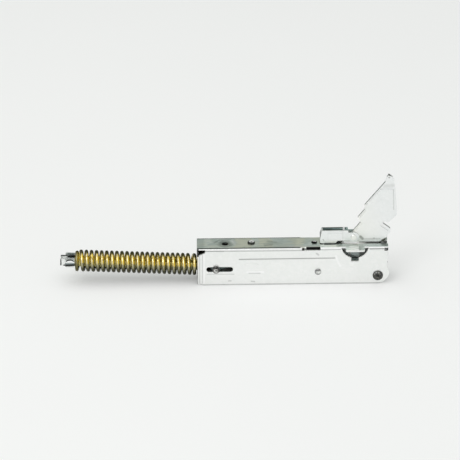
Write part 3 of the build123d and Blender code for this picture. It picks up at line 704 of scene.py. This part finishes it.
def lever_metal():
    """The lock lever: painted shade along its edges and under it, and its far leg's inside, which
    shows over the near one, with a painted reflection, painted dark lines and a painted
    highlight.
    """
    g = Graph("lever_zinc")
    colour, roughness, normal = sheet_metal(g, LEVER_LIGHT, LEVER_SHADE, PLATE_ROUGH, EVEN)
    x, y, z = g.place()
    flat = g.flat(x, z)
    far = g.times(g.band(y, *FAR_LEG_Y), g.span(z, *FAR_LEG_Z))
    end = g.times(far, g.patch(x, z, FAR_LEG_END))
    colour = g.coats(colour,
                     (far, FAR_LEG_TONE),
                     (g.times(far, g.marks(flat, LEVER_FAR)), FAR_LEG_DARK),
                     (end, WHITE),
                     (g.marks(flat, LEVER_DARK), LEVER_PAINTED_SHADE))
    return g.finish(colour, roughness, g.without(end), normal)


# ---- the pieces inside ----
INNER_LIGHT, INNER_DARK = (0.24, 0.30, 0.29), (0.13, 0.17, 0.165)
INNER_CLOUD, INNER_CLOUDED = (260.0, 4.0, 0.6), (0.35, 0.7)
INNER_FINE, INNER_ROUGH, INNER_BUMP = (2200.0, 2.0, 0.6), (0.34, 0.52), (0.2, 0.00005)
OILY_METAL = 0.75
# Lines of painted highlight: X and height as the photo shows it of both ends, half width, soft
# edge, amount.
WINDOW_STREAKS = (
    (-24.9, 17.2, -23.7, 20.1, 0.30, 0.45, 1.0),
    (-23.2, 17.1, -22.0, 20.1, 0.30, 0.45, 1.0),
    (-27.5, 21.0, -26.0, 19.0, 0.3, 0.6, 0.5),
)
# Patches of painted light: low X, high X, low and high height as the photo shows it, soft edge,
# amount.
WINDOW_GLOW = ((-21.6, -15.6, 17.4, 21.6, 1.2, 0.75), (-26.6, -21.8, 18.0, 22.0, 0.8, 0.45),
               (-21.0, -15.8, 15.8, 18.0, 1.2, 0.25))


def inner_steel():
    """Oily plain steel of the pieces inside, with painted light and painted highlight streaks
    where the window opens on them.
    """
    g = Graph("inner_steel")
    x, y, z = g.place()
    sight = g.seen(y, z)
    fine = g.noise(*INNER_FINE)
    glow = g.patches(x, sight, WINDOW_GLOW)
    streaks = g.marks(g.flat(x, sight), WINDOW_STREAKS)
    colour = g.coats(INNER_LIGHT,
                     (g.span(g.noise(*INNER_CLOUD), *INNER_CLOUDED), INNER_DARK),
                     (glow, WINDOW_LIGHT),
                     (streaks, WHITE))
    metallic = g.math("SUBTRACT", OILY_METAL, g.times(g.most(glow, streaks), OILY_METAL))
    return g.finish(colour, g.varied(fine, *INNER_ROUGH), metallic, g.bump(fine, *INNER_BUMP))


# ---- ends of the pins, and the domed rivet ----
END_CLOUD, END_CLOUDED = (650.0, 4.0, 0.7), (0.40, 0.64)
END_FINE, END_BUMP = (1800.0, 3.0, 0.6), (0.25, 0.00006)
END_SMOOTHER, END_ROUGHER = 0.08, 0.1
END_DARK, END_PALE = (0.02, 0.02, 0.018), (0.92, 0.93, 0.90)
# Each end's middle in X and Z, its tones and roughness, and its lines, counted from the middle:
# both ends, half width, soft edge, amount. The dark lines are partly painted shade, the pale ones
# painted highlights.
PIN_ENDS = {
    "distance_end": {
        "middle": (-49.9, 11.4), "rough": 0.36,
        "tone": (0.44, 0.45, 0.44), "lighter": (0.62, 0.63, 0.62),
        "dark": ((-1.9, 1.6, 1.4, 1.9, 0.5, 0.5, 0.55), (-2.3, 0.5, -2.1, -1.0, 0.2, 0.5, 0.45),
                 (-1.2, -2.2, 1.5, -2.1, 0.1, 0.5, 0.4)),
        "pale": ((0.4, -0.5, 0.9, -0.2, 0.4, 0.7, 0.7), (-0.8, -0.4, -0.6, 0.2, 0.1, 0.5, 0.4)),
    },
    "crosshead_end": {
        "middle": CROSSHEAD, "rough": 0.30,
        "tone": (0.20, 0.20, 0.19), "lighter": (0.42, 0.41, 0.40),
        "dark": ((-2.6, 2.2, 2.2, 2.6, 0.4, 0.5, 0.9), (2.4, 1.5, 2.6, -1.2, 0.4, 0.5, 0.9),
                 (-2.9, 0.8, -2.5, -0.8, 0.3, 0.5, 0.6), (0.1, 0.5, 0.2, 0.4, 0.2, 0.5, 0.9),
                 (-0.9, -2.7, 0.8, -2.8, 0.3, 0.5, 0.8)),
        "pale": ((-1.5, 0.4, -0.9, 1.5, 0.15, 0.4, 0.8), (-0.9, 1.5, 0.6, 1.4, 0.1, 0.4, 0.6),
                 (-0.8, -0.5, 0.7, -0.7, 0.2, 0.5, 0.7)),
    },
    "pivot_end": {
        "middle": (0.0, 7.3), "rough": 0.36,
        "tone": (0.055, 0.058, 0.062), "lighter": (0.17, 0.165, 0.14),
        "dark": ((-3.9, 1.2, -3.9, -1.2, 0.1, 0.6, 0.7), (-3.0, -2.8, 3.0, -2.8, 0.1, 0.7, 0.5),
                 (0.0, 0.2, 0.2, 0.0, 0.7, 0.9, 0.8)),
        "pale": ((-1.6, 2.9, -1.3, 3.1, 0.1, 0.8, 0.45), (0.4, 3.0, 0.8, 2.9, 0.1, 0.8, 0.40),
                 (-2.9, 1.9, -2.7, 2.1, 0.1, 0.8, 0.25)),
    },
}


def round_end(name, middle, rough, tone, lighter, dark, pale):
    """The flat end of a riveted pin: clouded steel with a few dark marks, partly painted shade,
    and painted highlights.
    """
    g = Graph(name)
    x, _, z = g.place()
    flat = g.flat(g.math("SUBTRACT", x, middle[0]), g.math("SUBTRACT", z, middle[1]))
    fine = g.noise(*END_FINE)
    colour = g.coats(tone,
                     (g.span(g.noise(*END_CLOUD), *END_CLOUDED), lighter),
                     (g.marks(flat, dark), END_DARK),
                     (g.marks(flat, pale), END_PALE))
    roughness = g.varied(fine, rough - END_SMOOTHER, rough + END_ROUGHER)
    return g.finish(colour, roughness, 1.0, g.bump(fine, *END_BUMP))


DOME_X = -104.95
DOME_TOP_Y, DOME_SPOT_Y = 0.3, -0.7
# Distances from those two middles: from where to where, and the spot's amounts.
DOME_RIM, DOME_SPOT = (2.1, 2.45), (0.5, 1.1, 0.8, 0.0)
# The rim's tone is painted shade.
DOME_RIM_TONE, DOME_SPOT_TONE = (0.05, 0.055, 0.05), (0.10, 0.105, 0.10)
DOME_FINE, DOME_ROUGH, DOME_BUMP = (1500.0, 3.0, 0.6), (0.50, 0.62), (0.15, 0.00004)


def dome():
    """The domed rivet on the web: bright, with a rim of painted shade and a dark spot near its
    middle.
    """
    g = Graph("guide_dome")
    x, y, _ = g.place()
    fine = g.noise(*DOME_FINE)

    def away(middle):
        return g.vector("LENGTH", g.flat(g.math("SUBTRACT", x, DOME_X),
                                         g.math("SUBTRACT", y, middle)))

    colour = g.coats(WHITE,
                     (g.span(away(DOME_TOP_Y), *DOME_RIM), DOME_RIM_TONE),
                     (g.span(away(DOME_SPOT_Y), *DOME_SPOT), DOME_SPOT_TONE))
    return g.finish(colour, g.varied(fine, *DOME_ROUGH), 1.0, g.bump(fine, *DOME_BUMP))


# ---- stage and light ----
FLOOR_TONES = (0.905, 0.908, 0.903), (0.89, 0.893, 0.89)
FLOOR_SOFT, FLOOR_ROUGH, FLOOR_GLOSS = (2.0, 2.0), 0.8, 0.1
FLOOR_GLOW = (0.895, 0.90, 0.892)
FLOOR_LIFT = 0.24
FLOOR_SIDE, FLOOR_BACK, FLOOR_Z = 4.0, 0.85, -0.0002

# Light of the room by direction, each place counted from 0 at -1 to 1 at +1: along Y from the
# front to the back, and along Z from the ground up.
ROOM_BY_Y = ((0.0, (0.80, 0.80, 0.80)), (0.45, (0.62, 0.63, 0.62)),
             (0.70, (0.40, 0.42, 0.40)), (0.95, (0.33, 0.355, 0.33)))
BACK_BY_Z = ((0.0, 0.16), (0.50, 0.20), (0.58, 0.45), (0.70, 1.0), (1.0, 1.6))
BACK_BY_Y = ((0.0, BLACK), (0.55, BLACK), (0.72, WHITE), (1.0, WHITE))
# Metal mirrors less of the room straight above, where the top lamp is.
METAL_BY_Z = ((0.0, WHITE), (0.87, WHITE), (0.94, (0.2, 0.2, 0.2)))
RAMP_SCALE = 2.0            # a ramp's colours end at 1, so brighter ones go through it halved
BACKDROP = (0.88, 0.885, 0.88)

# Lamps: name, place, aim, size, power in watts.
LAMPS = (("top_box", (-0.15, -0.12, 2.0), (-0.1, 0.0, 0.0), (3.0, 2.6), 20.2),
         ("key_box", (-0.9, -1.35, 1.5), (0.0, 0.0, 0.02), (0.9, 0.9), 7.5))


def stage_material():
    """Pale floor; what the camera sees of it is lifted a little, so shadows stay light."""
    g = Graph("floor_pale")
    g.finish(g.mix(g.varied(g.noise(*FLOOR_SOFT), 0.0, 1.0), *FLOOR_TONES), FLOOR_ROUGH, 0.0)
    g.fill(g.bsdf, {"Specular IOR Level": FLOOR_GLOSS})
    glow = g.node("ShaderNodeEmission", {"Color": FLOOR_GLOW})
    seen = g.node("ShaderNodeLightPath").outputs["Is Camera Ray"]
    both = g.node("ShaderNodeMixShader", {"Fac": g.times(seen, FLOOR_LIFT),
                                          1: g.bsdf.outputs["BSDF"], 2: glow.outputs["Emission"]})
    g.put(g.tree.nodes["Material Output"].inputs["Surface"], both.outputs["Shader"])
    return g.mat


def world():
    """A plain studio: at the back it gets brighter with height, and to the camera it is pale."""
    w = bpy.data.worlds.new("studio")
    scene.world = w
    w.use_nodes = True
    t = Nodes(w.node_tree)
    direction = t.separate(t.node("ShaderNodeTexCoord").outputs["Generated"])

    def by(axis, stops):
        return t.ramp(t.span(direction[axis], -1.0, 1.0), stops)

    room = by("Y", ROOM_BY_Y)
    level = by("Z", tuple((place, (v / RAMP_SCALE,) * 3) for place, v in BACK_BY_Z))
    back = t.mix(1.0, room, level, "MULTIPLY")
    back = t.mix(1.0, back, (RAMP_SCALE,) * 3, "MULTIPLY")
    room = t.mix(by("Y", BACK_BY_Y), room, back)
    metal = t.mix(1.0, room, by("Z", METAL_BY_Z), "MULTIPLY")
    ray = t.node("ShaderNodeLightPath").outputs
    room = t.mix(ray["Is Glossy Ray"], room, metal)
    shown = t.mix(ray["Is Camera Ray"], room, BACKDROP)
    t.fill(t.tree.nodes["Background"], {"Color": shown, "Strength": 1.0})


def softbox(name, place, aim, size, power):
    data = bpy.data.lights.new(name, "AREA")
    data.shape = "RECTANGLE"
    data.size, data.size_y = size
    data.energy = power
    obj = bpy.data.objects.new(name, data)
    scene.collection.objects.link(obj)
    place = Vector(place)
    look = (Vector(aim) - place).to_track_quat("-Z", "Y")
    obj.matrix_world = Matrix.Translation(place) @ look.to_matrix().to_4x4()


# ---- meshes ----
CHAMFER = 0.14              # of the wire's radius, at both ends
WIRE_SIDES = 16
HALF_TURN_STEPS = 20


def mesh_object(name, verts, faces, material, smooth=True):
    m = bpy.data.meshes.new(name)
    m.from_pydata([tuple(v) for v in verts], [], faces)
    m.validate()
    m.update()
    for p in m.polygons:
        p.use_smooth = smooth
    m.materials.append(material)
    o = bpy.data.objects.new(name, m)
    scene.collection.objects.link(o)
    return o


def tube(name, path, radius, sides, material):
    """A round bar along the path, closed at both ends with a small chamfer."""
    last = len(path) - 1
    tangents = [(path[min(i + 1, last)] - path[max(i - 1, 0)]).normalized()
                for i in range(len(path))]
    side = tangents[0].orthogonal().normalized()
    rings = []
    for place, tangent in zip(path, tangents):
        side = (side - tangent * side.dot(tangent)).normalized()
        rings.append((place, side, tangent.cross(side), radius))

    def chamfered(ring, inwards):
        """The narrow ring at the very end, and the full one behind it."""
        place, u, v, full = ring
        shoulder = place + inwards * full * CHAMFER
        return (place, u, v, full * (1 - CHAMFER)), (shoulder, u, v, full)

    first_tip, first_full = chamfered(rings[0], tangents[0])
    last_tip, last_full = chamfered(rings[-1], -tangents[-1])
    rings = [first_tip, first_full, *rings[1:-1], last_full, last_tip]

    angles = [2 * pi * k / sides for k in range(sides)]
    verts = [place + r * (cos(a) * u + sin(a) * v) for place, u, v, r in rings for a in angles]
    starts = range(0, len(verts), sides)
    faces = [(a + k, a + (k + 1) % sides, b + (k + 1) % sides, b + k)
             for a, b in zip(starts, starts[1:]) for k in range(sides)]
    faces.append(tuple(reversed(range(sides))))
    faces.append(tuple(range(starts[-1], starts[-1] + sides)))
    return mesh_object(name, verts, faces, material)


def spring_path():
    """Points along the middle of the wire, from the rod's ears to the end wall."""
    start = SPRING_START + WIRE / 2 + END_GAP / 2
    wall = SPRING_END - END_GAP - WIRE / 2
    room = wall - start - 2 * CLOSED_TURN
    count = 2 * round(room / TURN_RISE - 0.5) + 1
    closing = CLOSED_TURN - END_RISE
    rises = [END_RISE, closing] + [room / count] * count + [closing, END_RISE]
    stations = [start]
    for rise in rises:
        stations.append(stations[-1] + rise)
    mean = (COIL_OUTSIDE - WIRE) / 2
    tilt = radians(ROD_TILT)
    points = []
    for i in range(len(rises) * HALF_TURN_STEPS + 1):
        h = min(i // HALF_TURN_STEPS, len(rises) - 1)
        f = i / HALF_TURN_STEPS - h
        along = stations[h] * (1 - f) + stations[h + 1] * f
        angle = pi * i / HALF_TURN_STEPS
        up = mean * cos(angle) - ROD_DROP
        x = along * cos(tilt) + up * sin(tilt)
        z = -along * sin(tilt) + up * cos(tilt)
        points.append(at(CROSSHEAD[0] + x, -mean * sin(angle), CROSSHEAD[1] + z))
    return points


# ---- finishes ----
FINISHES = (
    (housing_zinc(), ("housing_shell",)),
    (arm_metal(), ("arm_blade", "arm_doubler", "arm_rivets", "lever_rivet")),
    (lever_metal(), ("lock_lever",)),
    (rod_metal(), ("pull_rod",)),
    (inner_steel(), ("pivot_spacer_front", "pivot_spacer_rear", "distance_sleeve", "link_guide",
                     "crank_pin", "crank_washer_front", "crank_washer_rear", "link_front",
                     "link_rear", "crosshead_roller_front", "crosshead_roller_rear")),
    (dome(), ("guide_rivet",)),
    (round_end("distance_end", **PIN_ENDS["distance_end"]), ("distance_rivet",)),
    (round_end("crosshead_end", **PIN_ENDS["crosshead_end"]), ("crosshead_pin",)),
    (round_end("pivot_end", **PIN_ENDS["pivot_end"]), ("pivot_pin",)),
    (spring_gold(), ("spring",)),
)
finish = {piece: material for material, pieces in FINISHES for piece in pieces}
for name, obj in nodes.items():
    for slot in obj.material_slots:
        slot.material = finish[name]

# ---- small bevels along the edges of the sheet pieces ----
BEVELLED = ("housing_shell", "arm_blade", "arm_doubler", "lock_lever", "pull_rod",
            "link_front", "link_rear", "link_guide")
BEVEL, BEVEL_SEGMENTS, BEVEL_ANGLE = 0.18, 2, 40
for name in BEVELLED:
    b = nodes[name].modifiers.new("edges", "BEVEL")
    b.width = BEVEL * MM
    b.segments = BEVEL_SEGMENTS
    b.limit_method = "ANGLE"
    b.angle_limit = radians(BEVEL_ANGLE)
    b.use_clamp_overlap = True
    b.harden_normals = True

# ---- the smoother mesh of the spring, on the housing in place of the CAD spring ----
coil = tube("spring_wire", spring_path(), WIRE / 2 * MM, WIRE_SIDES, finish["spring"])
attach(coil, "housing")
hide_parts("spring")
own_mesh(coil)

# ---- stage ----
corners = ((-FLOOR_SIDE, -FLOOR_SIDE), (FLOOR_SIDE, -FLOOR_SIDE),
           (FLOOR_SIDE, FLOOR_BACK), (-FLOOR_SIDE, FLOOR_BACK))
floor = mesh_object("floor", [(*corner, FLOOR_Z) for corner in corners], [(0, 1, 2, 3)],
                    stage_material(), smooth=False)
world()
for lamp in LAMPS:
    softbox(*lamp)
camera()
scene.view_settings.view_transform = "Standard"
